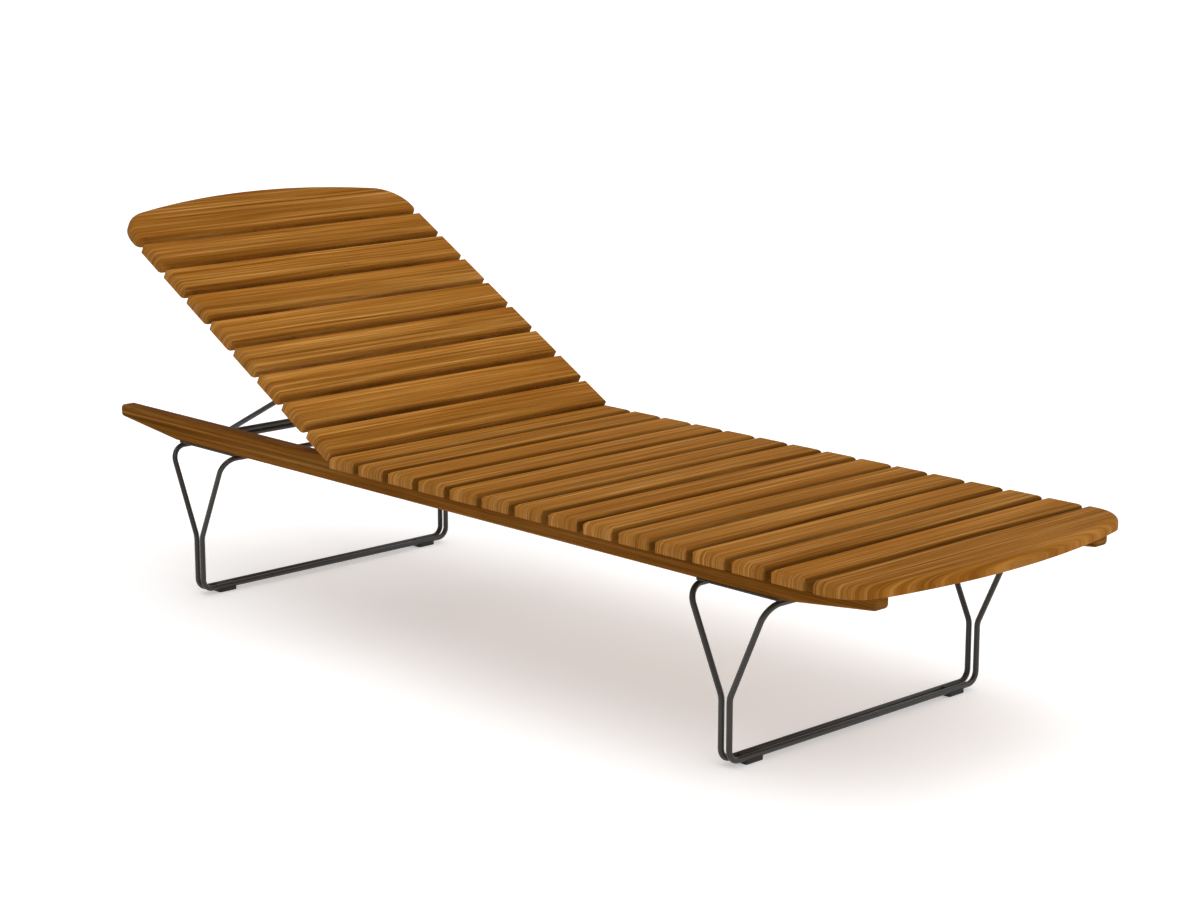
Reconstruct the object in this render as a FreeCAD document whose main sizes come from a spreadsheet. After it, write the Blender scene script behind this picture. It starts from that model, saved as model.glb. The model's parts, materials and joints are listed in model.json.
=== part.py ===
import FreeCAD, Part
import math
import os

import Sketcher

# Slatted bamboo sun recliner on two bent-rod leg frames.
# Millimetres. +Z up, X across the width, +Y towards the head end.
# The origin is on the floor, under the middle of the outline with the
# backrest raised as at rest.

V = FreeCAD.Vector
os.makedirs("parts", exist_ok=True)
doc = FreeCAD.newDocument("Recliner")

# ---------------------------------------------------------------- dimensions
sheet = doc.addObject("Spreadsheet::Sheet", "Dims")
CELLS = [
    ("deck_top", 348.5, "height of the slat tops above the floor"),
    ("deck_origin", 188.75, "Y of the gap between seat slats 1 and 2"),
    ("pitch", 81.0, "slat width plus one gap"),
    ("slat_width", 70.0, "slat width"),
    ("slat_thick", 20.0, "slat thickness"),
    ("slat_long", 679.0, "slat length across the bed"),
    ("edge_round", 10.0, "rounding of the long top edges"),
    ("end_round", 12.0, "rounding of the slat ends"),
    ("corner_round", 6.0, "rounding of the slat corners, seen from above"),
    ("hinge_gap", 3.5, "extra gap between seat and backrest"),
    ("foot_depth", 122.5, "depth of the foot slat at the middle"),
    ("head_depth", 118.5, "depth of the head slat at the middle"),
    ("crown_radius", 1300.0, "crown of the end slats"),
    ("crown_round", 11.0, "rounding of the outer top edge of the end slats"),
    ("end_corner", 72.0, "corner radius of the end slats"),
    ("rail_inner", 254.0, "inner face of the rails from the middle"),
    ("rail_thick", 30.0, "rail thickness"),
    ("rail_tall", 44.0, "rail height"),
    ("rail_half", 970.5, "half of the rail length"),
    ("rail_mid", -167.0, "rail middle from the deck origin"),
    ("taper_run", 182.0, "length of the bottom taper at a rail end"),
    ("taper_tall", 23.5, "rail height at its end"),
    ("rail_nose", 8.0, "rounding of the rail ends, seen from the side"),
    ("rail_edge", 5.0, "rounding of the rail edges"),
    ("screw_dia", 4.5, "screw shank"),
    ("screw_head", 9.0, "screw head"),
    ("cbore_dia", 11.0, "counterbore for a screw head"),
    ("screw_seat", 18.0, "wood left above a slat screw head"),
    ("screw_bite", 12.0, "slat screw length inside the slat"),
    ("hinge_y", 64.5, "backrest axis from the deck origin"),
    ("hinge_drop", 34.0, "backrest axis below the slat tops"),
    ("back_angle", 29.55, "backrest angle at rest, degrees"),
    ("hinge_dia", 10.0, "hinge rod diameter"),
    ("pin_clear", 0.06, "radial clearance of the pins"),
    ("batten_inner", 190.0, "inner face of the backrest battens"),
    ("batten_thick", 28.0, "batten thickness"),
    ("batten_tall", 34.0, "batten height"),
    ("batten_end", 745.0, "batten length beyond the axis"),
    ("batten_nose", 13.0, "batten end radius about the axis"),
    ("rod_dia", 10.0, "leg and prop rod diameter"),
    ("leg_x", 303.5, "leg rod from the middle"),
    ("leg_foot_y", -857.3, "foot leg frame from the deck origin"),
    ("leg_head_y", 523.1, "head leg frame from the deck origin"),
    ("leg_top_y", 83.0, "top crossbar from the frame middle"),
    ("leg_low_y", 8.8, "floor bar from the frame middle"),
    ("leg_kink", 103.5, "kink above the floor bar"),
    ("bend_top", 30.0, "top bend radius"),
    ("bend_kink", 30.0, "kink bend radius"),
    ("bend_low", 20.0, "floor bend radius"),
    ("bar_height", 11.0, "floor bar centre above the floor"),
    ("strap_thick", 3.0, "strap thickness"),
    ("strap_long", 176.0, "strap length"),
    ("strap_wide", 28.0, "strap width"),
    ("strap_hole_y", 60.0, "strap screws from the strap middle"),
    ("strap_bite", 22.0, "strap screw length inside the rail"),
    ("pad_x", 249.0, "foot pad from the middle"),
    ("pad_long", 40.0, "foot pad length"),
    ("pad_wide", 27.0, "foot pad width"),
    ("pad_tall", 8.0, "foot pad block height"),
    ("pad_tongue", 15.5, "top of the insert between the rods"),
    ("prop_y", 266.6, "prop pivot beyond the backrest axis"),
    ("prop_z", -2.9, "prop pivot above the backrest axis"),
    ("prop_x", 178.0, "prop arm from the middle"),
    ("prop_long", 344.0, "prop pivot to prop foot"),
    ("prop_angle", 27.05, "prop slope at rest, degrees"),
    ("prop_pin", 209.0, "end of the prop pins from the middle"),
    ("bend_pin", 10.0, "bend at the prop pins"),
    ("rack_x", 160.0, "inner face of the rack plates"),
    ("rack_thick", 4.0, "rack plate thickness"),
    ("rack_top", 68.3, "rack teeth below the slat tops"),
    ("rack_low", 90.0, "rack bottom below the slat tops"),
    ("rack_end", 690.0, "rack head end from the deck origin"),
    ("notch_deep", 6.5, "depth of a rack notch"),
]
sheet.set("A1", "name")
sheet.set("B1", "value")
sheet.set("C1", "meaning")


class Size:
    """A number together with the expression that gives it."""

    def __init__(self, v, e):
        self.v = float(v)
        self.e = e

    @staticmethod
    def of(a):
        return a if isinstance(a, Size) else Size(a, repr(float(a)))

    def _op(self, o, sign, val, swap=False):
        o = Size.of(o)
        a, b = (o, self) if swap else (self, o)
        return Size(val(a.v, b.v), "(%s %s %s)" % (a.e, sign, b.e))

    def __add__(self, o):
        return self._op(o, "+", lambda a, b: a + b)

    def __radd__(self, o):
        return self._op(o, "+", lambda a, b: a + b, True)

    def __sub__(self, o):
        return self._op(o, "-", lambda a, b: a - b)

    def __rsub__(self, o):
        return self._op(o, "-", lambda a, b: a - b, True)

    def __mul__(self, o):
        return self._op(o, "*", lambda a, b: a * b)

    def __rmul__(self, o):
        return self._op(o, "*", lambda a, b: a * b, True)

    def __truediv__(self, o):
        return self._op(o, "/", lambda a, b: a / b)

    def __neg__(self):
        return Size(-self.v, "(0 - %s)" % self.e)


D = {}
for i, (alias, value, meaning) in enumerate(CELLS):
    row = i + 2
    sheet.set("A%d" % row, alias)
    sheet.set("B%d" % row, repr(value))
    sheet.set("C%d" % row, meaning)
    sheet.setAlias("B%d" % row, alias)
doc.recompute()
for alias, value, meaning in CELLS:
    D[alias] = Size(float(sheet.get(alias)), "Dims." + alias)


def d(name):
    return D[name]


def num(name):
    return D[name].v


# ------------------------------------------------------------------- helpers
NODES = []


def origin_plane(body, role):
    for o in body.Origin.OriginFeatures:
        if o.Role == role:
            return o
    raise RuntimeError(role)


def new_body(label):
    b = doc.addObject("PartDesign::Body", label)
    b.Label = label
    NODES.append(b)
    return b


def new_sketch(body, name, role, offset=None):
    s = body.newObject("Sketcher::SketchObject", body.Name + "_" + name)
    s.AttachmentSupport = [(origin_plane(body, role), "")]
    s.MapMode = "FlatFace"
    if offset is not None:
        s.AttachmentOffset = FreeCAD.Placement(V(0, 0, offset.v), FreeCAD.Rotation())
        s.setExpression("AttachmentOffset.Base.z", offset.e)
    return s


def constrain(s, con, size):
    i = s.addConstraint(con)
    s.setExpression("Constraints[%d]" % i, size.e)


def loop(s, items):
    """Closed outline. Each item is a corner (x, y), or a corner followed
    by an arc to the next corner: (x, y, centre x, centre y, ccw)."""
    n = len(items)
    first = s.GeometryCount
    pts = [(Size.of(it[0]), Size.of(it[1])) for it in items]
    ends = []
    for i, it in enumerate(items):
        a = V(pts[i][0].v, pts[i][1].v, 0)
        b = V(pts[(i + 1) % n][0].v, pts[(i + 1) % n][1].v, 0)
        if len(it) == 2:
            s.addGeometry(Part.LineSegment(a, b))
            ends.append((1, 2))
        else:
            c = V(Size.of(it[2]).v, Size.of(it[3]).v, 0)
            r = (a - c).Length
            a0 = math.atan2(a.y - c.y, a.x - c.x)
            a1 = math.atan2(b.y - c.y, b.x - c.x)
            circle = Part.Circle(c, V(0, 0, 1), r)
            if it[4]:
                if a1 < a0:
                    a1 += 2 * math.pi
                s.addGeometry(Part.ArcOfCircle(circle, a0, a1))
                ends.append((1, 2))
            else:
                if a0 < a1:
                    a0 += 2 * math.pi
                s.addGeometry(Part.ArcOfCircle(circle, a1, a0))
                ends.append((2, 1))
    for i in range(n):
        g, h = first + i, first + (i + 1) % n
        s.addConstraint(Sketcher.Constraint("Coincident", g, ends[i][1], h, ends[(i + 1) % n][0]))
    for i, it in enumerate(items):
        g = first + i
        constrain(s, Sketcher.Constraint("DistanceX", -1, 1, g, ends[i][0], pts[i][0].v), pts[i][0])
        constrain(s, Sketcher.Constraint("DistanceY", -1, 1, g, ends[i][0], pts[i][1].v), pts[i][1])
        if len(it) > 5:
            constrain(s, Sketcher.Constraint("Radius", g, it[5].v), it[5])


def ring(s, x, y, radius):
    x, y, radius = Size.of(x), Size.of(y), Size.of(radius)
    g = s.addGeometry(Part.Circle(V(x.v, y.v, 0), V(0, 0, 1), radius.v))
    constrain(s, Sketcher.Constraint("Radius", g, radius.v), radius)
    constrain(s, Sketcher.Constraint("DistanceX", -1, 1, g, 3, x.v), x)
    constrain(s, Sketcher.Constraint("DistanceY", -1, 1, g, 3, y.v), y)


def pad(body, s, length, side="One side", reverse=False):
    f = body.newObject("PartDesign::Pad", s.Name + "_pad")
    f.Profile = s
    f.SideType = side
    f.Reversed = reverse
    length = Size.of(length)
    f.Length = length.v
    f.setExpression("Length", length.e)
    s.Visibility = False
    return f


def pocket(body, s, length=None, side="One side", reverse=False):
    before = None
    f = body.newObject("PartDesign::Pocket", s.Name + "_cut")
    f.Profile = s
    f.SideType = side
    f.Reversed = reverse
    if length is None:
        f.Type = "ThroughAll"
        if side != "One side":
            f.Type2 = "ThroughAll"
    else:
        length = Size.of(length)
        f.Length = length.v
        f.setExpression("Length", length.e)
    CUTS.append((body, f))
    return f


CUTS = []


def place(body, x=None, y=None, z=None):
    vals = [Size.of(0 if q is None else q) for q in (x, y, z)]
    body.Placement = FreeCAD.Placement(V(*[q.v for q in vals]), FreeCAD.Rotation())
    for axis, q in zip("xyz", vals):
        body.setExpression("Placement.Base." + axis, q.e)


def place_back(body):
    """Backrest pieces are drawn flat, about the backrest axis."""
    y = d("deck_origin") + d("hinge_y")
    z = d("deck_top") - d("hinge_drop")
    body.Placement = FreeCAD.Placement(
        V(0, y.v, z.v), FreeCAD.Rotation(V(1, 0, 0), num("back_angle")))
    body.setExpression("Placement.Base.y", y.e)
    body.setExpression("Placement.Base.z", z.e)
    body.setExpression("Placement.Rotation.Angle", d("back_angle").e)


# --------------------------------------------------------------------- slats
half_w = d("slat_width") / 2
half_l = d("slat_long") / 2
thick = d("slat_thick")
er = d("edge_round")
nr = d("end_round")
cr = d("corner_round")


def cut_slat_ends(body, top):
    """Round the slat ends over at the top, seen along the width."""
    s = new_sketch(body, "ends", "XZ_Plane")
    for sign in (1, -1):
        xo = half_l if sign > 0 else -half_l
        xi = (half_l - nr) if sign > 0 else (nr - half_l)
        xx = (half_l + 6) if sign > 0 else (-6 - half_l)
        loop(s, [
            (xi, top, xi, top - nr, sign < 0, nr),
            (xo, top - nr),
            (xx, top - nr),
            (xx, top + 6),
            (xi, top + 6),
        ])
    pocket(body, s, None, "Symmetric")


def slat(label, centre, top, hole_x, back):
    b = new_body(label)
    a, c = centre - half_w, centre + half_w
    s = new_sketch(b, "section", "YZ_Plane")
    loop(s, [
        (a, top - thick),
        (c, top - thick),
        (c, top - er, c - er, top - er, True, er),
        (c - er, top),
        (a + er, top, a + er, top - er, True, er),
        (a, top - er),
    ])
    pad(b, s, d("slat_long"), "Symmetric")
    cut_slat_ends(b, top)
    s = new_sketch(b, "corners", "XY_Plane")
    for sx in (1, -1):
        for sy in (1, -1):
            xi, xo = (half_l - cr) * sx, half_l * sx
            yi, yo = centre + (half_w - cr) * sy, centre + half_w * sy
            loop(s, [
                (xi, yo, xi, yi, sx * sy < 0, cr),
                (xo, yi),
                (xo + 5 * sx, yi),
                (xo + 5 * sx, yo + 5 * sy),
                (xi, yo + 5 * sy),
            ])
    pocket(b, s, None, "Symmetric")
    h = new_sketch(b, "holes", "XY_Plane", top - thick)
    for sign in (1, -1):
        ring(h, hole_x * sign, centre, d("screw_dia") / 2)
    pocket(b, h, d("screw_bite"), "One side", True)
    return b


def end_slat(label, near_edge, outward, depth, top, hole_x, hole_y):
    """End slat with rounded corners and a slightly crowned outer edge.
    outward is +1 towards the head and -1 towards the foot."""
    b = new_body(label)
    o = outward
    y0 = near_edge
    ym = near_edge + depth * o
    # corner arc centre, and the point where it runs into the crowned edge
    cx = half_l - d("end_corner")
    r = num("crown_radius")
    rise = math.sqrt((r - num("end_corner")) ** 2 - cx.v ** 2)
    y1 = ym - d("crown_radius") * o + rise * o
    ccy = ym.v - o * r
    ang = math.atan2(rise, cx.v)
    sx = cx + d("end_corner") * math.cos(ang)
    sy = y1 + d("end_corner") * (math.sin(ang) * o)
    s = new_sketch(b, "outline", "XY_Plane", top - thick)
    ccw = o > 0
    loop(s, [
        (half_l, y0),
        (half_l, y1, cx, y1, ccw, d("end_corner")),
        (sx, sy, 0.0, ccy, ccw),
        (-sx, sy, -cx, y1, ccw, d("end_corner")),
        (-half_l, y1),
        (-half_l, y0),
    ])
    constrain(s, Sketcher.Constraint("Radius", s.GeometryCount - 4, r), d("crown_radius"))
    p = pad(b, s, thick)
    doc.recompute()
    # the outer top edge is rounded more than the edge beside the next slat
    for step, size in (("outer", d("crown_round")), ("inner", er)):
        edges = []
        for i, e in enumerate(p.Shape.Edges):
            bb = e.BoundBox
            if abs(bb.ZMin - top.v) > 1e-3 or abs(bb.ZMax - top.v) > 1e-3:
                continue
            inner = abs(bb.YMin - y0.v) < 1e-3 and abs(bb.YMax - y0.v) < 1e-3
            if inner == (step == "inner"):
                edges.append("Edge%d" % (i + 1))
        f = b.newObject("PartDesign::Fillet", "%s_%s" % (label, step))
        f.Base = (p, edges)
        f.Radius = size.v
        f.setExpression("Radius", size.e)
        doc.recompute()
        p = f
    h = new_sketch(b, "holes", "XY_Plane", top - thick)
    for sign in (1, -1):
        ring(h, hole_x * sign, hole_y, d("screw_dia") / 2)
    pocket(b, h, d("screw_bite"), "One side", True)
    return b


zero = Size.of(0.0)
rail_x = d("rail_inner") + d("rail_thick") / 2
batten_x = d("batten_inner") + d("batten_thick") / 2
SEAT_SLATS, BACK_SLATS = 14, 8
seat_screw_y = []
for i in range(SEAT_SLATS):
    y = d("pitch") * (0.5 - i)
    b = slat("seat_slat_%02d" % (i + 1), zero, zero, rail_x, False)
    place(b, None, d("deck_origin") + y, d("deck_top"))
    seat_screw_y.append(y)

gap_half = (d("pitch") - d("slat_width")) / 2
foot_edge = d("pitch") * (-(SEAT_SLATS - 1)) - gap_half
foot_hole = foot_edge - 32
b = end_slat("foot_slat", foot_edge, -1, d("foot_depth"), zero, rail_x, foot_hole)
place(b, None, d("deck_origin"), d("deck_top"))
seat_screw_y.append(foot_hole)

back_top = d("hinge_drop")
back_screw_y = []
for i in range(BACK_SLATS):
    # 08 is next to the hinge, 01 next to the head slat
    y = d("pitch") * (i + 1.5) + d("hinge_gap") - d("hinge_y")
    b = slat("back_slat_%02d" % (BACK_SLATS - i), y, back_top, batten_x, True)
    place_back(b)
    back_screw_y.append(y)
head_edge = d("pitch") * (BACK_SLATS + 1) + d("hinge_gap") + gap_half - d("hinge_y")
head_hole = head_edge + 32
b = end_slat("head_slat", head_edge, 1, d("head_depth"), back_top, batten_x, head_hole)
place_back(b)
back_screw_y.append(head_hole)

# --------------------------------------------------------------------- rails
rail_a = d("rail_mid") - d("rail_half")
rail_b = d("rail_mid") + d("rail_half")
rail_top = -d("slat_thick")
rail_low = rail_top - d("rail_tall")
for label, sign in (("left_rail", -1), ("right_rail", 1)):
    b = new_body(label)
    s = new_sketch(b, "side", "YZ_Plane")
    loop(s, [
        (rail_a, rail_top),
        (rail_a, rail_top - d("taper_tall")),
        (rail_a + d("taper_run"), rail_low),
        (rail_b - d("taper_run"), rail_low),
        (rail_b, rail_top - d("taper_tall")),
        (rail_b, rail_top),
    ])
    p = pad(b, s, d("rail_thick"), "Symmetric")
    doc.recompute()
    side = num("rail_thick") / 2
    bends = [(rail_a + d("taper_run")).v, (rail_b - d("taper_run")).v]
    for step in ("nose", "edge"):
        edges = []
        for i, e in enumerate(p.Shape.Edges):
            bb = e.BoundBox
            across = abs(bb.XMin + side) < 1e-3 and abs(bb.XMax - side) < 1e-3
            on_face = abs(abs(bb.XMin) - side) < 1e-3 and bb.XMax - bb.XMin < 1e-3
            if step == "nose":
                good = across and bb.YMax - bb.YMin < 1e-3 and (
                    abs(bb.YMin - rail_a.v) < 1e-3 or abs(bb.YMin - rail_b.v) < 1e-3)
            else:
                good = on_face or (across and min(abs(bb.YMin - q) for q in bends) < 1e-2)
            if good:
                edges.append("Edge%d" % (i + 1))
        f = b.newObject("PartDesign::Fillet", "%s_%s" % (label, step))
        f.Base = (p, edges)
        f.Radius = num("rail_" + step)
        f.setExpression("Radius", d("rail_" + step).e)
        doc.recompute()
        p = f
    # counterbores for the slat screws, bored from below
    seat_z = rail_top - d("screw_seat")
    c = new_sketch(b, "bores", "XY_Plane", seat_z)
    for y in seat_screw_y:
        ring(c, 0.0, y, d("cbore_dia") / 2)
    pocket(b, c, d("rail_tall"), "One side", False)
    c = new_sketch(b, "shanks", "XY_Plane", rail_top)
    for y in seat_screw_y:
        ring(c, 0.0, y, d("screw_dia") / 2)
    pocket(b, c, d("screw_seat") + 1, "One side", False)
    # pilot holes for the strap screws
    c = new_sketch(b, "pilots", "XY_Plane", rail_low)
    for base in ("leg_foot_y", "leg_head_y"):
        for k in (-1, 1):
            ring(c, 0.0, d(base) + d("strap_hole_y") * k, d("screw_dia") / 2)
    pocket(b, c, d("strap_bite"), "One side", True)
    # blind hole for the hinge rod, in the inner face
    c = new_sketch(b, "hinge_hole", "YZ_Plane", d("rail_thick") / 2 * -sign)
    ring(c, d("hinge_y"), -d("hinge_drop"), d("hinge_dia") / 2)
    pocket(b, c, 20, "One side", sign > 0)
    place(b, rail_x * sign, d("deck_origin"), d("deck_top"))

# ------------------------------------------------------- backrest battens
nose = d("batten_nose")
bt = d("hinge_drop") - d("slat_thick")
bl = bt - d("batten_tall")
for label, sign in (("left_back_batten", -1), ("right_back_batten", 1)):
    b = new_body(label)
    s = new_sketch(b, "side", "YZ_Plane")
    r = nose.v
    # the nose arc runs from the step under the seat slat round to the
    # sloping lower edge
    p_low = (16.0, bl.v)
    dist = math.hypot(*p_low)
    ta = math.atan2(p_low[1], p_low[0]) - math.acos(r / dist)
    t_low = (r * math.cos(ta), r * math.sin(ta))
    step = 4.4
    t_top = (math.sqrt(r * r - step * step), step)
    loop(s, [
        (t_top[0], t_top[1], 0.0, 0.0, True, nose),
        (t_low[0], t_low[1]),
        (p_low[0], bl),
        (d("batten_end"), bl),
        (d("batten_end"), bt),
        (24.7, bt),
        (17.0, step),
    ])
    pad(b, s, d("batten_thick"), "Symmetric")
    c = new_sketch(b, "hinge_bore", "YZ_Plane")
    ring(c, 0.0, 0.0, d("hinge_dia") / 2 + d("pin_clear"))
    pocket(b, c, None, "Symmetric")
    c = new_sketch(b, "prop_bore", "YZ_Plane", d("batten_thick") / 2 * -sign)
    ring(c, d("prop_y"), d("prop_z"), d("rod_dia") / 2 + d("pin_clear"))
    pocket(b, c, 20, "One side", sign > 0)
    c = new_sketch(b, "bores", "XY_Plane", bt - d("screw_seat"))
    for y in back_screw_y:
        ring(c, 0.0, y, d("cbore_dia") / 2)
    pocket(b, c, d("batten_tall"), "One side", False)
    c = new_sketch(b, "shanks", "XY_Plane", bt)
    for y in back_screw_y:
        ring(c, 0.0, y, d("screw_dia") / 2)
    pocket(b, c, d("screw_seat") + 1, "One side", False)
    place_back(b)
    bx = batten_x * sign
    b.Placement.Base = V(bx.v, b.Placement.Base.y, b.Placement.Base.z)
    b.setExpression("Placement.Base.x", bx.e)

# ------------------------------------------------------------- hinge pieces
hinge_Y = d("deck_origin") + d("hinge_y")
hinge_Z = d("deck_top") - d("hinge_drop")
b = new_body("hinge_rod")
s = new_sketch(b, "section", "YZ_Plane")
ring(s, 0.0, 0.0, d("hinge_dia") / 2)
pad(b, s, (d("rail_inner") + 19.9) * 2, "Symmetric")
place(b, None, hinge_Y, hinge_Z)


def tube_pair(label, start, length, outer):
    """Two identical rings on the hinge rod, one on each side."""
    inner = num("hinge_dia") / 2
    parts = []
    for x in (start, -start - length):
        o = Part.makeCylinder(outer, length, V(x, hinge_Y.v, hinge_Z.v), V(1, 0, 0))
        i = Part.makeCylinder(inner, length, V(x, hinge_Y.v, hinge_Z.v), V(1, 0, 0))
        parts.append(o.cut(i))
    f = doc.addObject("Part::Feature", label)
    f.Label = label
    f.Shape = Part.makeCompound(parts)
    NODES.append(f)
    return f


spacer_x = num("batten_inner") + num("batten_thick") + 0.3
tube_pair("hinge_spacers", spacer_x, num("rail_inner") - spacer_x, 9.0)
tube_pair("hinge_collars", num("batten_inner") - 0.3 - 6.0, 6.0, 9.0)


# ---------------------------------------------------------------- bent rods
def rounded_path(points, radii):
    """Straight runs joined by tangent arcs. radii are for the inner points."""
    edges = []
    cur = points[0]
    for i in range(1, len(points) - 1):
        p, a, c = points[i], points[i - 1], points[i + 1]
        u = (a - p).normalize()
        w = (c - p).normalize()
        turn = math.pi - u.getAngle(w)
        t = radii[i - 1] * math.tan(turn / 2)
        p0, p1 = p + u * t, p + w * t
        bis = (u + w).normalize()
        mid = p + bis * (radii[i - 1] / math.cos(turn / 2) - radii[i - 1])
        edges.append(Part.LineSegment(cur, p0).toShape())
        edges.append(Part.Arc(p0, mid, p1).toShape())
        cur = p1
    edges.append(Part.LineSegment(cur, points[-1]).toShape())
    return Part.Wire(edges)


def half_rod(points, radii, radius):
    path = rounded_path(points, radii)
    start = (points[1] - points[0]).normalize()
    prof = Part.Wire([Part.Circle(points[0], start, radius).toShape()])
    shape = path.makePipeShell([prof], True, False)
    solid = Part.Solid(shape.Shells[0]) if not shape.Solids else shape.Solids[0]
    if solid.Volume < 0:
        solid.reverse()
    want = math.pi * radius * radius * path.Length
    print("rod %.0f mm long, volume ratio %.4f" % (path.Length, solid.Volume / want))
    return solid


def whole_rod(label, points, radii):
    radius = num("rod_dia") / 2
    h = half_rod(points, radii, radius)
    m = h.mirror(V(0, 0, 0), V(1, 0, 0))
    shape = h.fuse(m).removeSplitter()
    f = doc.addObject("Part::Feature", label)
    f.Label = label
    f.Shape = shape.Solids[0]
    NODES.append(f)
    return f


rod_r = num("rod_dia") / 2
cross_z = num("deck_top") - num("slat_thick") - num("rail_tall") - num("strap_thick") - rod_r
low_z = num("bar_height")
kink_z = low_z + num("leg_kink")
for frame, base in (("foot", "leg_foot_y"), ("head", "leg_head_y")):
    yc = num("deck_origin") + num(base)
    for side, sy in (("footward", -1), ("headward", 1)):
        yt, yl = yc + sy * num("leg_top_y"), yc + sy * num("leg_low_y")
        lx = num("leg_x")
        whole_rod("%s_leg_%s_rod" % (frame, side), [
            V(0, yt, cross_z), V(lx, yt, cross_z), V(lx, yl, kink_z),
            V(lx, yl, low_z), V(0, yl, low_z)],
            [num("bend_top"), num("bend_kink"), num("bend_low")])

# the prop rod: two arms and a foot, with pins turned outwards into the battens
th = math.radians(num("back_angle"))
py, pz = num("prop_y"), num("prop_z")
piv_y = hinge_Y.v + py * math.cos(th) - pz * math.sin(th)
piv_z = hinge_Z.v + py * math.sin(th) + pz * math.cos(th)
ps = math.radians(num("prop_angle"))
foot_y = piv_y + num("prop_long") * math.cos(ps)
foot_z = piv_z - num("prop_long") * math.sin(ps)
print("prop pivot", round(piv_y, 4), round(piv_z, 4), "foot", round(foot_y, 4), round(foot_z, 4))
print("backrest axis", hinge_Y.v, hinge_Z.v)
px = num("prop_x")
whole_rod("prop_bail", [
    V(0, foot_y, foot_z), V(px, foot_y, foot_z),
    V(px, piv_y, piv_z), V(num("prop_pin"), piv_y, piv_z)],
    [num("bend_low"), num("bend_pin")])

# ------------------------------------------------------------------- straps
strap_top = d("deck_top") - d("slat_thick") - d("rail_tall")
for frame, base in (("foot", "leg_foot_y"), ("head", "leg_head_y")):
    for label, sign in (("left", -1), ("right", 1)):
        b = new_body("%s_%s_strap" % (frame, label))
        s = new_sketch(b, "outline", "XY_Plane")
        hl, hw, cr = d("strap_long") / 2, d("strap_wide") / 2, Size.of(5.0)
        loop(s, [
            (hw, cr - hl), (hw, hl - cr, hw - cr, hl - cr, True, cr),
            (hw - cr, hl), (cr - hw, hl, cr - hw, hl - cr, True, cr),
            (-hw, hl - cr), (-hw, cr - hl, cr - hw, cr - hl, True, cr),
            (cr - hw, -hl), (hw - cr, -hl, hw - cr, cr - hl, True, cr),
        ])
        pad(b, s, d("strap_thick"), "One side", True)
        c = new_sketch(b, "holes", "XY_Plane")
        for k in (-1, 1):
            ring(c, 0.0, d("strap_hole_y") * k, d("screw_dia") / 2)
        pocket(b, c, None, "Symmetric")
        place(b, rail_x * sign, d("deck_origin") + d(base), strap_top)

# ---------------------------------------------------------------- foot pads
for frame, base in (("foot", "leg_foot_y"), ("head", "leg_head_y")):
    for label, sign in (("left", -1), ("right", 1)):
        b = new_body("%s_%s_pad" % (frame, label))
        s = new_sketch(b, "block", "XY_Plane")
        hl, hw, cr = d("pad_long") / 2, d("pad_wide") / 2, Size.of(4.0)
        loop(s, [
            (hl, cr - hw), (hl, hw - cr, hl - cr, hw - cr, True, cr),
            (hl - cr, hw), (cr - hl, hw, cr - hl, hw - cr, True, cr),
            (-hl, hw - cr), (-hl, cr - hw, cr - hl, cr - hw, True, cr),
            (cr - hl, -hw), (hl - cr, -hw, hl - cr, cr - hw, True, cr),
        ])
        p = pad(b, s, d("pad_tall"))
        doc.recompute()
        low = []
        for i, e in enumerate(p.Shape.Edges):
            if abs(e.BoundBox.ZMax) < 1e-3:
                low.append("Edge%d" % (i + 1))
        f = b.newObject("PartDesign::Fillet", b.Name + "_edge")
        f.Base = (p, low)
        f.Radius = 1.5
        doc.recompute()
        s = new_sketch(b, "tongue", "XY_Plane")
        loop(s, [(hl - 1, -4.0), (hl - 1, 4.0), (1 - hl, 4.0), (1 - hl, -4.0)])
        pad(b, s, d("pad_tongue"))
        c = new_sketch(b, "grooves", "YZ_Plane")
        for k in (-1, 1):
            ring(c, d("leg_low_y") * k, d("bar_height"), d("rod_dia") / 2)
        pocket(b, c, None, "Symmetric")
        place(b, d("pad_x") * sign, d("deck_origin") + d(base), None)

# ------------------------------------------------------- notched rack plates
# The teeth stand just under the path of the prop rod's foot.
rt, rl = -d("rack_top"), -d("rack_low")
bar_y = [d("leg_head_y") + d("leg_top_y") * k for k in (-1, 1)]
bar_z = rail_low - d("strap_thick") - d("rod_dia") / 2
for label, sign in (("left_rack", -1), ("right_rack", 1)):
    b = new_body(label)
    s = new_sketch(b, "side", "YZ_Plane")
    start = bar_y[0] - 12
    pts = [(start, rl), (d("rack_end"), rl), (d("rack_end"), rt)]
    for yn in (675.5, 655.0, 632.0):
        pts += [(yn + 6.0, rt), (yn + 3.5, rt - d("notch_deep")),
                (yn - 4.5, rt - d("notch_deep")), (yn - 9.5, rt)]
    pts += [(bar_y[1] + 9, rt), (bar_y[1] + 9, bar_z), (bar_y[1] - 9, bar_z), (bar_y[1] - 9, rt)]
    pts += [(583.0, rt), (573.0, bar_z), (start, bar_z)]
    loop(s, pts)
    pad(b, s, d("rack_thick"), "One side", sign < 0)
    c = new_sketch(b, "seats", "YZ_Plane")
    for yb in bar_y:
        ring(c, yb, bar_z, d("rod_dia") / 2)
    pocket(b, c, None, "Symmetric")
    place(b, d("rack_x") * sign, d("deck_origin"), d("deck_top"))


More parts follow.
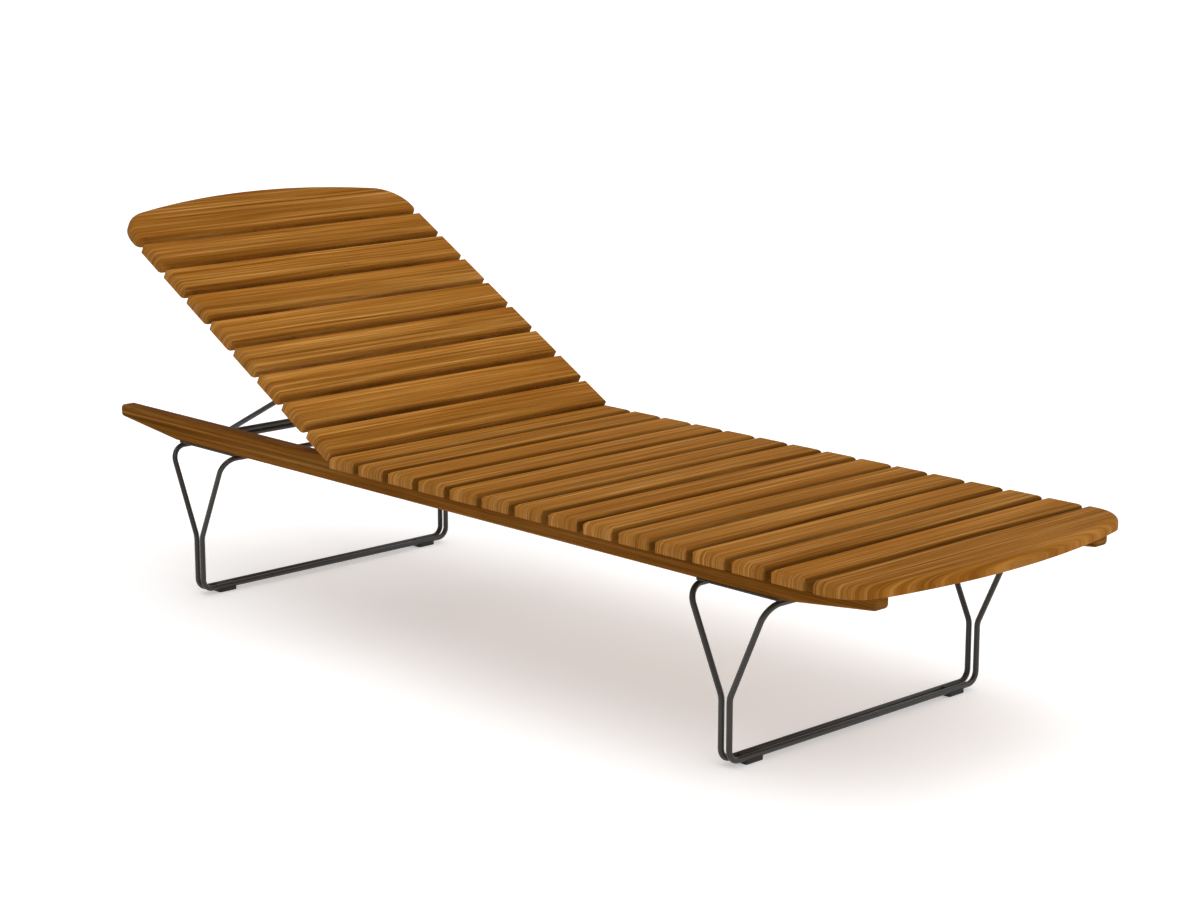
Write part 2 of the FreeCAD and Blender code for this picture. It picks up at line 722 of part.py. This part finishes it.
# ------------------------------------------------------------------- screws
def screw(bite, under):
    """Pan-head wood screw, head underside at z = 0, pointing up."""
    r, hr = num("screw_dia") / 2, num("screw_head") / 2
    length = bite + under
    pts = [V(0, 0, -3.0), V(hr - 1.2, 0, -3.0), V(hr, 0, -1.6), V(hr, 0, 0), V(r, 0, 0),
           V(r, 0, length - 4.0), V(0, 0, length - 0.3)]
    wire = Part.makePolygon(pts + [pts[0]])
    body = Part.Face(wire).revolve(V(0, 0, 0), V(0, 0, 1), 360)
    for a in (0, 90):
        cut = Part.makeBox(4.6, 1.0, 1.6, V(-2.3, -0.5, -3.0))
        cut.rotate(V(0, 0, 0), V(0, 0, 1), a)
        body = body.cut(cut)
    return body.Solids[0] if body.Solids else Part.Solid(body)


def screw_group(label, proto, spots, placement):
    parts = []
    for x, y, z in spots:
        q = proto.copy()
        q.Placement = FreeCAD.Placement(V(x, y, z), FreeCAD.Rotation())
        parts.append(q)
    f = doc.addObject("Part::Feature", label)
    f.Label = label
    f.Shape = Part.makeCompound(parts)
    f.Placement = placement
    NODES.append(f)


slat_screw = screw(num("screw_bite"), num("screw_seat"))
strap_screw = screw(num("strap_bite"), num("strap_thick"))
deck = FreeCAD.Placement(V(0, num("deck_origin"), num("deck_top")), FreeCAD.Rotation())
seat_level = -num("slat_thick") - num("screw_seat")
screw_group("seat_slat_screws", slat_screw,
            [(rail_x.v * k, y.v, seat_level) for y in seat_screw_y for k in (-1, 1)], deck)
back_place = FreeCAD.Placement(
    V(0, hinge_Y.v, hinge_Z.v), FreeCAD.Rotation(V(1, 0, 0), num("back_angle")))
screw_group("back_slat_screws", slat_screw,
            [(batten_x.v * k, y.v, bt.v - num("screw_seat")) for y in back_screw_y for k in (-1, 1)],
            back_place)
screw_group("strap_screws", strap_screw,
            [(rail_x.v * k, num(base) + num("strap_hole_y") * m, rail_low.v - num("strap_thick"))
             for base in ("leg_foot_y", "leg_head_y") for m in (-1, 1) for k in (-1, 1)], deck)

# -------------------------------------------------------------------- output
doc.recompute()
for o in doc.Objects:
    if "Invalid" in o.State or "Error" in o.State:
        raise RuntimeError("failed object " + o.Name + " " + str(o.State))
for body, f in CUTS:
    before = f.BaseFeature.Shape.Volume
    if f.Shape.Volume > before - 1.0:
        raise RuntimeError("cut removes nothing: " + f.Name)
names = set()
for n in NODES:
    sh = n.Shape
    if sh.isNull() or not sh.isValid() or not sh.Solids:
        raise RuntimeError("bad shape " + n.Label)
    if n.Label in names or len(n.Label) > 59:
        raise RuntimeError("bad name " + n.Label)
    names.add(n.Label)
total = None
for n in NODES:
    n.Shape.exportStep("parts/%s.step" % n.Label)
    bb = n.Shape.optimalBoundingBox(True, False)
    total = bb if total is None else total.united(bb)
print(len(NODES), "nodes, box", total)
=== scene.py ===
import math

import bpy
from mathutils import Matrix, Vector
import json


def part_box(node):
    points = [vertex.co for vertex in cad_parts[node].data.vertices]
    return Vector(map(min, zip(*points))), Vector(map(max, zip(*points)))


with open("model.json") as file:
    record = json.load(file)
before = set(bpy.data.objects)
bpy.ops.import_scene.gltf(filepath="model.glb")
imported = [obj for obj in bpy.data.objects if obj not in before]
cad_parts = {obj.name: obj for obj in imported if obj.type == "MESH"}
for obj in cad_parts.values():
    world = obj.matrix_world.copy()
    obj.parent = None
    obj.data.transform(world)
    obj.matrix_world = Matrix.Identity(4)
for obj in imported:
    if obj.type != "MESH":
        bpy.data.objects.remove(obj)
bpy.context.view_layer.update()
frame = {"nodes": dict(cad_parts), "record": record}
nodes = frame["nodes"]
scene = bpy.context.scene


# ------------------------------------------------------------- node helpers
class Tree:
    """A material's node tree, with short calls for the nodes used here."""

    def __init__(self, name):
        self.mat = bpy.data.materials.new(name)
        self.mat.use_nodes = True
        self.nt = self.mat.node_tree
        self.bsdf = next(n for n in self.nt.nodes if n.type == "BSDF_PRINCIPLED")
        self.coord = self.nt.nodes.new("ShaderNodeTexCoord")

    def link(self, a, b):
        self.nt.links.new(a, b)

    def put(self, socket, value):
        if isinstance(value, bpy.types.NodeSocket):
            self.link(value, socket)
        else:
            socket.default_value = value

    def math(self, op, a, b=0.0, c=None, clamp=False):
        n = self.nt.nodes.new("ShaderNodeMath")
        n.operation = op
        n.use_clamp = clamp
        self.put(n.inputs[0], a)
        self.put(n.inputs[1], b)
        if c is not None:
            self.put(n.inputs[2], c)
        return n.outputs[0]

    def vmath(self, op, a, b=None):
        n = self.nt.nodes.new("ShaderNodeVectorMath")
        n.operation = op
        self.put(n.inputs[0], a)
        if b is not None:
            self.put(n.inputs[1], b)
        return n.outputs["Value" if op == "DOT_PRODUCT" else "Vector"]

    def stretch(self, vec, factors):
        return self.vmath("MULTIPLY", vec, factors)

    def noise(self, vec, scale=1.0, detail=3.0, rough=0.55, distort=0.0):
        n = self.nt.nodes.new("ShaderNodeTexNoise")
        n.inputs["Scale"].default_value = scale
        n.inputs["Detail"].default_value = detail
        n.inputs["Roughness"].default_value = rough
        n.inputs["Distortion"].default_value = distort
        self.link(vec, n.inputs["Vector"])
        return n.outputs[0]

    def ramp(self, fac, stops, smooth=False):
        n = self.nt.nodes.new("ShaderNodeValToRGB")
        cr = n.color_ramp
        if smooth:
            cr.interpolation = "EASE"
        while len(cr.elements) < len(stops):
            cr.elements.new(0.5)
        for e, (p, c) in zip(cr.elements, stops):
            e.position = p
            e.color = (c, c, c, 1) if isinstance(c, (int, float)) else (c[0], c[1], c[2], 1)
        self.link(fac, n.inputs[0])
        return n.outputs[0]

    def mix(self, fac, a, b, blend="MIX"):
        n = self.nt.nodes.new("ShaderNodeMix")
        n.data_type = "RGBA"
        n.blend_type = blend
        n.clamp_factor = True
        self.put(n.inputs[0], fac)
        for i, q in ((6, a), (7, b)):
            if isinstance(q, bpy.types.NodeSocket):
                self.link(q, n.inputs[i])
            else:
                n.inputs[i].default_value = (q[0], q[1], q[2], 1)
        return n.outputs[2]

    def bump(self, height, strength, distance, normal=None):
        n = self.nt.nodes.new("ShaderNodeBump")
        n.inputs["Strength"].default_value = strength
        n.inputs["Distance"].default_value = distance
        self.link(height, n.inputs["Height"])
        if normal is not None:
            self.link(normal, n.inputs["Normal"])
        return n.outputs[0]

    def spread(self, fac, lo, hi, a, b):
        n = self.nt.nodes.new("ShaderNodeMapRange")
        n.inputs[1].default_value = lo
        n.inputs[2].default_value = hi
        n.inputs[3].default_value = a
        n.inputs[4].default_value = b
        self.link(fac, n.inputs[0])
        return n.outputs[0]


def lin(r, g, b):
    """sRGB 0..255 to linear."""
    out = []
    for v in (r, g, b):
        v /= 255.0
        out.append(v / 12.92 if v <= 0.04045 else ((v + 0.055) / 1.055) ** 2.4)
    return tuple(out)


# --------------------------------------------------------------- materials
def bamboo(name, along, across, depth, seed, tone=1.0, ends=0.0, origin=None, turn=0.0,
           knot=1.0, dark_line_height=None, middle=None, painted_side_shade=0.48):
    """Oiled strand bamboo. along, across and depth are the axes (0, 1, 2)
    of the strands, of the face's width and of the face's depth. The strands
    hardly change with depth, so they run on down over a rounded end. middle
    is the board's middle across, for a painted highlight along one side and painted shade down the long sides."""
    t = Tree(name)
    obj = t.coord.outputs["Object"]
    if origin is not None:
        obj = t.vmath("SUBTRACT", obj, origin)
    if turn:
        m = t.nt.nodes.new("ShaderNodeMapping")
        m.vector_type = "POINT"
        m.inputs["Rotation"].default_value = (-math.radians(turn), 0, 0)
        t.link(obj, m.inputs["Vector"])
        obj = m.outputs[0]

    def axes(a, c, d):
        f = [0.0, 0.0, 0.0]
        f[along], f[across], f[depth] = a, c, d
        return tuple(f)

    base = t.vmath("ADD", obj, tuple(seed * k for k in (3.17, 1.73, 2.41)))
    # a slow wander of the strands, so that they aren't ruled lines
    wander = t.noise(t.stretch(base, axes(2.4, 9.0, 2.0)), 1.0, 2.0, 0.5)
    shift = t.math("MULTIPLY", t.math("SUBTRACT", wander, 0.5), 0.009)
    comb = t.nt.nodes.new("ShaderNodeCombineXYZ")
    t.link(shift, comb.inputs[across])
    vec = t.vmath("ADD", base, comb.outputs[0])
    # strands about 3 to 6 mm wide, fine fibres, and broad bands of tone
    strand = t.noise(t.stretch(vec, axes(1.9, 190.0, 5.0)), 1.0, 3.0, 0.60)
    fibre = t.noise(t.stretch(vec, axes(7.0, 900.0, 14.0)), 1.0, 2.0, 0.6)
    band = t.noise(t.stretch(vec, axes(0.9, 40.0, 3.0)), 1.0, 2.0, 0.5)
    fleck = t.noise(t.stretch(vec, axes(26.0, 420.0, 20.0)), 1.0, 2.0, 0.55)
    col = t.ramp(strand, [(0.27, lin(106, 62, 14)), (0.41, lin(134, 84, 26)), (0.52, lin(151, 99, 38)),
                          (0.60, lin(166, 114, 50)), (0.75, lin(196, 144, 78))])
    # reddish bands
    col = t.mix(t.spread(band, 0.42, 0.66, 0.0, 0.35), col, lin(142, 84, 22), "MIX")
    # fine fibres, lighter and darker
    fib = t.ramp(fibre, [(0.32, 0.72), (0.5, 1.0), (0.68, 1.26)])
    col = t.mix(0.75, col, fib, "MULTIPLY")
    # short dark flecks where strands start and stop
    fl = t.ramp(fleck, [(0.0, 1.0), (0.60, 1.0), (0.72, 0.74), (1.0, 0.62)])
    col = t.mix(0.8 * knot, col, fl, "MULTIPLY")
    # paler dusty strands on the cut ends
    geo = t.nt.nodes.new("ShaderNodeNewGeometry")
    sep = t.nt.nodes.new("ShaderNodeSeparateXYZ")
    t.link(geo.outputs["True Normal"], sep.inputs[0])
    end_face = t.math("ABSOLUTE", sep.outputs[along])
    end_mask = t.spread(end_face, 0.20, 0.80, 0.0, 1.0)
    pale = t.ramp(t.noise(t.stretch(vec, axes(8.0, 760.0, 10.0)), 1.0, 3.0, 0.7),
                  [(0.34, lin(112, 64, 18)), (0.46, lin(140, 88, 33)), (0.55, lin(166, 116, 58)), (0.66, lin(206, 164, 108))])
    col = t.mix(t.math("MULTIPLY", end_mask, ends), col, pale)
    if dark_line_height is not None:
        # a soft dark line along the rail
        sp = t.nt.nodes.new("ShaderNodeSeparateXYZ")
        t.link(obj, sp.inputs[0])
        off = t.math("ABSOLUTE", t.math("SUBTRACT", sp.outputs[across], dark_line_height))
        line = t.spread(t.math("ADD", off, t.math("MULTIPLY", t.math("SUBTRACT", band, 0.5), 0.004)),
                        0.0004, 0.0046, 0.70, 1.0)
        col = t.mix(1.0, col, line, "MULTIPLY")
    if middle is not None:
        # painted highlight: each board is a little paler along its head side
        sp = t.nt.nodes.new("ShaderNodeSeparateXYZ")
        t.link(obj, sp.inputs[0])
        off = t.math("SUBTRACT", sp.outputs[across], middle)
        off = t.math("ADD", off, t.math("MULTIPLY", t.math("SUBTRACT", band, 0.5), 0.012))
        painted_highlight_side = t.spread(off, 0.0, 0.010, 0.965, 1.10)
        col = t.mix(1.0, col, painted_highlight_side, "MULTIPLY")
        # and painted shade: darker down its long sides
        facing = t.vmath("DOT_PRODUCT", t.coord.outputs["Normal"],
                         (0.0, math.cos(math.radians(turn)), math.sin(math.radians(turn))))
        facing = t.math("ABSOLUTE", facing)
        col = t.mix(1.0, col, t.spread(facing, 0.30, 0.85, 1.0, painted_side_shade), "MULTIPLY")
    # this piece's own tone
    col = t.mix(1.0, col, tuple(tone * k for k in (1.0, 1.0, 1.0)), "MULTIPLY")
    t.link(col, t.bsdf.inputs["Base Color"])
    rough = t.math("ADD", t.spread(strand, 0.3, 0.7, 0.64, 0.52), t.spread(fibre, 0.3, 0.7, 0.05, -0.03))
    t.link(rough, t.bsdf.inputs["Roughness"])
    t.bsdf.inputs["Specular IOR Level"].default_value = 0.01
    n1 = t.bump(strand, 0.30, 0.0006)
    n2 = t.bump(fibre, 0.28, 0.0003, n1)
    t.link(n2, t.bsdf.inputs["Normal"])
    return t.mat


def powder_coat(name, colour, rough=0.5, grain=1.0, metal=0.0):
    """Dark fine-textured powder coat, slightly rubbed."""
    t = Tree(name)
    obj = t.coord.outputs["Object"]
    fine = t.noise(obj, 1500.0, 2.0, 0.55)
    broad = t.noise(obj, 9.0, 3.0, 0.55)
    rub = t.noise(obj, 60.0, 4.0, 0.65)
    col = t.mix(t.spread(broad, 0.35, 0.65, 0.0, 1.0), tuple(0.86 * c for c in colour), tuple(1.16 * c for c in colour))
    col = t.mix(t.spread(rub, 0.58, 0.78, 0.0, 0.35), col, tuple(1.7 * c for c in colour))
    col = t.mix(t.spread(fine, 0.3, 0.7, 0.0, 0.4), col, tuple(0.7 * c for c in colour))
    t.link(col, t.bsdf.inputs["Base Color"])
    t.link(t.math("ADD", t.spread(broad, 0.3, 0.7, rough - 0.05, rough + 0.05), t.spread(fine, 0.3, 0.7, -0.05, 0.06)),
           t.bsdf.inputs["Roughness"])
    t.bsdf.inputs["Metallic"].default_value = metal
    t.bsdf.inputs["Specular IOR Level"].default_value = 0.45
    t.link(t.bump(fine, 0.22 * grain, 0.00025), t.bsdf.inputs["Normal"])
    return t.mat


def rubber(name):
    t = Tree(name)
    obj = t.coord.outputs["Object"]
    fine = t.noise(obj, 900.0, 3.0, 0.6)
    dust = t.noise(obj, 45.0, 4.0, 0.6)
    col = t.mix(t.spread(dust, 0.45, 0.75, 0.0, 0.5), lin(27, 25, 24), lin(52, 49, 45))
    col = t.mix(t.spread(fine, 0.35, 0.7, 0.0, 0.5), col, lin(20, 19, 18))
    t.link(col, t.bsdf.inputs["Base Color"])
    t.link(t.spread(dust, 0.3, 0.7, 0.62, 0.8), t.bsdf.inputs["Roughness"])
    t.link(t.bump(fine, 0.3, 0.0003), t.bsdf.inputs["Normal"])
    return t.mat


def zinc(name):
    t = Tree(name)
    obj = t.coord.outputs["Object"]
    patch = t.noise(obj, 260.0, 3.0, 0.6)
    fine = t.noise(obj, 2400.0, 2.0, 0.5)
    col = t.mix(t.spread(patch, 0.35, 0.65, 0.0, 1.0), (0.42, 0.41, 0.38), (0.58, 0.58, 0.56))
    t.link(col, t.bsdf.inputs["Base Color"])
    t.bsdf.inputs["Metallic"].default_value = 1.0
    t.link(t.spread(patch, 0.3, 0.7, 0.30, 0.46), t.bsdf.inputs["Roughness"])
    t.link(t.bump(fine, 0.15, 0.0001), t.bsdf.inputs["Normal"])
    return t.mat


def dress(name, mat):
    o = nodes[name]
    if not o.material_slots:
        o.data.materials.append(mat)
    for s in o.material_slots:
        s.material = mat


def soften(name, width, segments=3, angle=40):
    """A small rounding of the edges that are still sharp."""
    o = nodes[name]
    b = o.modifiers.new("edge", "BEVEL")
    b.width = width
    b.segments = segments
    b.limit_method = "ANGLE"
    b.angle_limit = math.radians(angle)
    b.harden_normals = True
    b.use_clamp_overlap = True


BACK = 29.55
HINGE = next(j for j in frame["record"]["behaviour"]["joints"] if j["name"] == "backrest_hinge")["pos_m"]

coat = powder_coat("rod_coat", lin(45, 41, 37), 0.32)
coat_flat = powder_coat("strap_coat", lin(40, 38, 36), 0.5)
steel = zinc("zinc")
black = rubber("pad_rubber")



def middle_of(name, raised=False):
    """The middle of a slat across its width, along the deck or the backrest."""
    lo, hi = (Vector(c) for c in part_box(name))
    mid = (lo + hi) / 2
    if not raised:
        return mid.y
    mid -= Vector(HINGE)
    a = math.radians(BACK)
    return mid.y * math.cos(a) + mid.z * math.sin(a)


TONES = [1.00, 0.96, 1.03, 0.98, 1.02, 0.95, 1.01, 0.99, 1.04, 0.97, 1.00, 1.02, 0.96, 1.01]
# seat and back slats carry a painted highlight along the head side and painted shade down the long sides
for n in sorted(nodes):
    if n.startswith("seat_slat_") and n[10:].isdigit():
        k = int(n[10:])
        dress(n, bamboo("bamboo_" + n, 0, 1, 2, 0.37 * k, TONES[k - 1], 0.48, middle=middle_of(n)))
        soften(n, 0.0012)
    elif n.startswith("back_slat_") and n[10:].isdigit():
        k = int(n[10:])
        dress(n, bamboo("bamboo_" + n, 0, 1, 2, 7.1 + 0.41 * k, TONES[(k + 4) % 14], 0.4,
                        tuple(HINGE), BACK, middle=middle_of(n, True), painted_side_shade=0.86))
        soften(n, 0.0012)
    elif n == "foot_slat":
        dress(n, bamboo("bamboo_foot", 0, 1, 2, 12.3, 0.92, 0.3, knot=1.4))
        soften(n, 0.0012)
    elif n == "head_slat":
        dress(n, bamboo("bamboo_head", 0, 1, 2, 14.9, 0.94, 0.3, tuple(HINGE), BACK, knot=1.2))
        soften(n, 0.0012)
    elif n.endswith("_rail"):
        dress(n, bamboo("bamboo_" + n, 1, 2, 0, 3.3 if n[0] == "l" else 5.9, 0.655, 0.2, dark_line_height=0.3085))
    elif n.endswith("_batten"):
        dress(n, bamboo("bamboo_" + n, 1, 2, 0, 4.6 if n[0] == "l" else 8.2, 0.72, 0.2, tuple(HINGE), BACK))
        soften(n, 0.0015)
    elif n.endswith("_pad"):
        dress(n, black)
        soften(n, 0.0006)
    elif n.endswith("_strap") or n.endswith("_rack"):
        dress(n, coat_flat)
        soften(n, 0.0005)
    elif n.endswith("_screws") or n.startswith("hinge_"):
        dress(n, steel)
    else:
        dress(n, coat)

# ------------------------------------------------------------------- stage
floor_mat = Tree("floor")
grain = floor_mat.noise(floor_mat.coord.outputs["Object"], 3.0, 3.0, 0.5)
floor_mat.link(floor_mat.mix(floor_mat.spread(grain, 0.3, 0.7, 0.0, 1.0), (0.86, 0.86, 0.86), (0.88, 0.88, 0.88)),
               floor_mat.bsdf.inputs["Base Color"])
floor_mat.bsdf.inputs["Roughness"].default_value = 0.9
floor_mat.bsdf.inputs["Emission Color"].default_value = (1.0, 1.0, 1.0, 1)
floor_mat.bsdf.inputs["Emission Strength"].default_value = 0.34
floor_mat.bsdf.inputs["Specular IOR Level"].default_value = 0.1
me = bpy.data.meshes.new("floor")
S = 30.0
me.from_pydata([(-S, -S, 0), (S, -S, 0), (S, S, 0), (-S, S, 0)], [], [(0, 1, 2, 3)])
floor = bpy.data.objects.new("floor", me)
floor.data.materials.append(floor_mat.mat)
scene.collection.objects.link(floor)
floor.location.z = -0.0002

# a white studio all round, a little dimmer on the left side and beyond the head end
world = bpy.data.worlds.new("studio")
scene.world = world
world.use_nodes = True
wt = world.node_tree
bg = wt.nodes["Background"]
sky = wt.nodes.new("ShaderNodeTexCoord")
split = wt.nodes.new("ShaderNodeSeparateXYZ")
wt.links.new(sky.outputs["Generated"], split.inputs[0])


def side(out, lo, hi, a, b):
    n = wt.nodes.new("ShaderNodeMapRange")
    n.interpolation_type = "SMOOTHSTEP"
    for i, v in enumerate((lo, hi, a, b)):
        n.inputs[i + 1].default_value = v
    wt.links.new(out, n.inputs[0])
    return n.outputs[0]


both = wt.nodes.new("ShaderNodeMath")
both.operation = "MULTIPLY"
wt.links.new(side(split.outputs[0], -0.9, 0.1, 0.42, 1.0), both.inputs[0])
wt.links.new(side(split.outputs[1], -0.4, 0.9, 1.08, 0.60), both.inputs[1])
# the backdrop itself is plain white
path = wt.nodes.new("ShaderNodeLightPath")
shown = wt.nodes.new("ShaderNodeMath")
shown.operation = "MAXIMUM"
wt.links.new(both.outputs[0], shown.inputs[0])
wt.links.new(path.outputs["Is Camera Ray"], shown.inputs[1])
wt.links.new(shown.outputs[0], bg.inputs[1])
bg.inputs[0].default_value = (1.0, 1.0, 1.0, 1)
scene.view_settings.view_transform = "Standard"


def sun(name, direction, strength, angle):
    """A broad, even light. direction points towards the light."""
    l = bpy.data.lights.new(name, "SUN")
    l.energy = strength
    l.angle = math.radians(angle)
    o = bpy.data.objects.new(name, l)
    scene.collection.objects.link(o)
    o.rotation_euler = Vector(direction).to_track_quat("Z", "Y").to_euler()
    return o


sun("key", (-0.08, -0.12, 0.99), 0.9, 70)

# ------------------------------------------------------------------ camera
# rows: picture right, picture down, and the view direction, in the row frame
CAM = Matrix((
    (0.7218453468, -0.6920537731, 0.0009329564),
    (-0.1487876237, -0.1565089326, -0.9764052422),
    (0.6758709479, 0.7046747684, -0.2159442811),
))
cam_data = bpy.data.cameras.new("camera")
cam = bpy.data.objects.new("camera", cam_data)
scene.collection.objects.link(cam)
rot = CAM.transposed()
cam.matrix_world = Matrix.Translation((-3.15858, -3.55438 + 0.18875, 1.02360 + 0.3485)) @ Matrix((
    (rot[0][0], -rot[0][1], -rot[0][2]),
    (rot[1][0], -rot[1][1], -rot[1][2]),
    (rot[2][0], -rot[2][1], -rot[2][2]),
)).to_4x4()
cam_data.sensor_fit = "HORIZONTAL"
cam_data.sensor_width = 36.0
cam_data.lens = 80.0
cam_data.clip_end = 100.0
scene.camera = cam

import json
